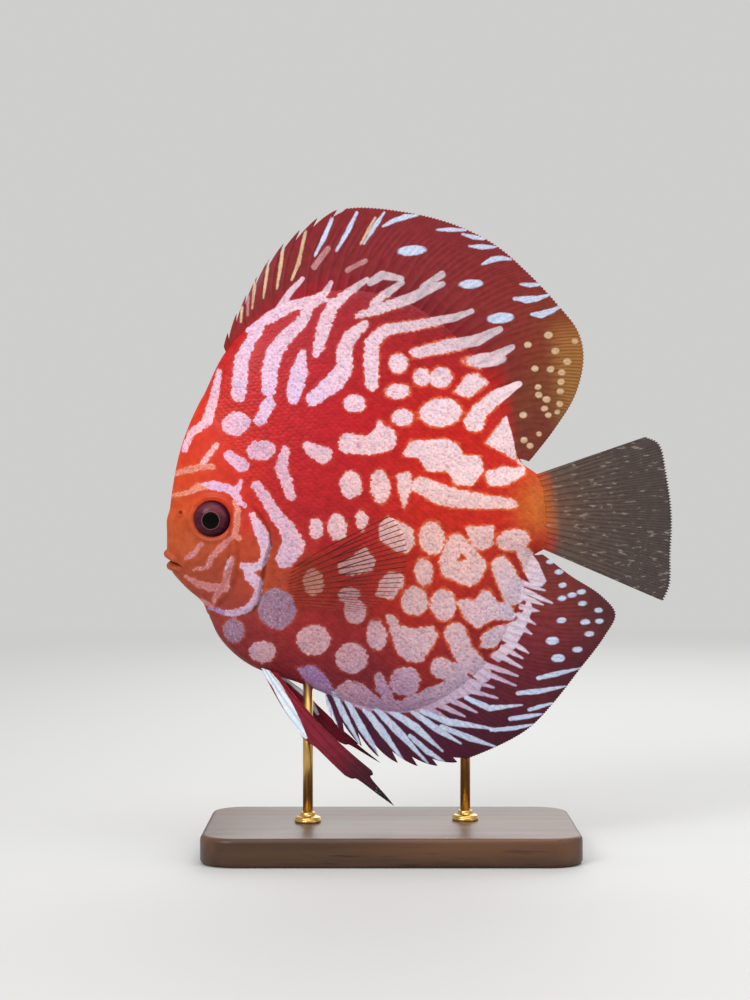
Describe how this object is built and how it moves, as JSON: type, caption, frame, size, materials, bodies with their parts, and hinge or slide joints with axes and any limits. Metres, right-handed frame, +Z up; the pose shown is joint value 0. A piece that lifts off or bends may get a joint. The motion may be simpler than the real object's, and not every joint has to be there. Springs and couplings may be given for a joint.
{
  "type": "discus fish",
  "caption": "Life-size still model of a discus fish: tall disc-shaped body, long dorsal and anal fins, held by two rods on a flat display base.",
  "frame": {"origin": "centre of the stand base's underside, on the surface that the stand rests on", "axes": "+Z up, -X towards the snout, -Y towards the fish's left side"},
  "size_m": [0.1627, 0.072, 0.2057],
  "materials": {
    "skin": "glossy wet scaled skin, red with pinkish white blotches",
    "face": "smooth glossy skin, orange red",
    "fin": "maroon ribbed membrane with bluish white streaks",
    "tail_fin": "smoky translucent ribbed membrane",
    "clear_fin": "clear membrane with dark brown rays",
    "eye": "glossy, dark maroon iris with a black pupil",
    "stand_base": "dark stained wood, satin",
    "stand_metal": "brushed brass"
  },
  "bodies": {
    "root": {"head": "face", "torso": "skin", "tail_stalk": "face", "gill_cover_left": "face", "gill_cover_right": "face", "eye_left": "eye", "eye_right": "eye", "fin_dorsal_spiny": "fin", "fin_dorsal_soft": "fin", "fin_anal_spiny": "fin", "fin_anal_soft": "fin", "fin_caudal": "tail_fin", "fin_pectoral_left": "clear_fin", "fin_pectoral_right": "clear_fin", "fin_pelvic_left": "fin", "fin_pelvic_right": "fin", "stand_base": "stand_base", "stand_rod_front": "stand_metal", "stand_rod_rear": "stand_metal", "stand_collar_front": "stand_metal", "stand_collar_rear": "stand_metal"}
  },
  "joints": []
}
